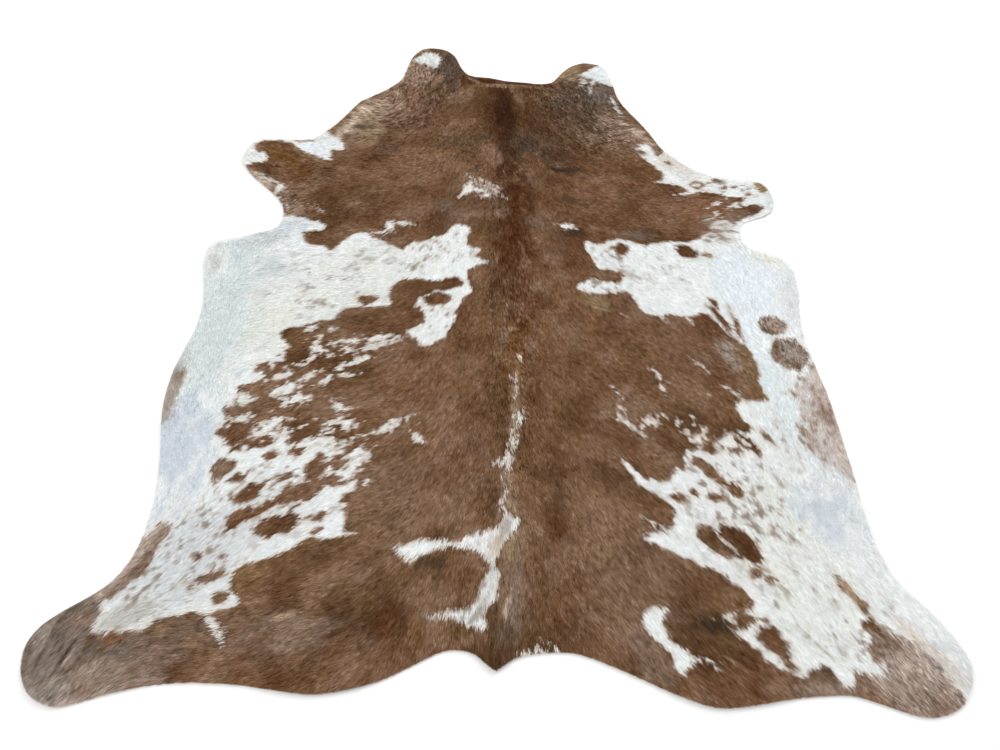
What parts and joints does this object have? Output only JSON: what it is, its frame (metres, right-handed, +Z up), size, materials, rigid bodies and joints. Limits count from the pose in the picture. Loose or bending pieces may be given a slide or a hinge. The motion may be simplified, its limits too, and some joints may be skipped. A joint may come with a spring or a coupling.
{
  "type": "cowhide rug",
  "caption": "Flat natural hide rug, hair side up, with leg flaps, ears and a tail stub round its uneven edge, that covers and softens a floor.",
  "frame": {"origin": "on the floor, in the middle of the hide's length and width", "axes": "+Y from the tail to the neck, +X to the right of someone who stands at the tail and looks to the neck, +Z up"},
  "size_m": [1.95, 2.32, 0.0145],
  "materials": {
    "hide": "short glossy lying hair, brindled chestnut brown on white, over a tanned skin"
  },
  "bodies": {
    "root": {"hide": "hide"}
  },
  "joints": []
}
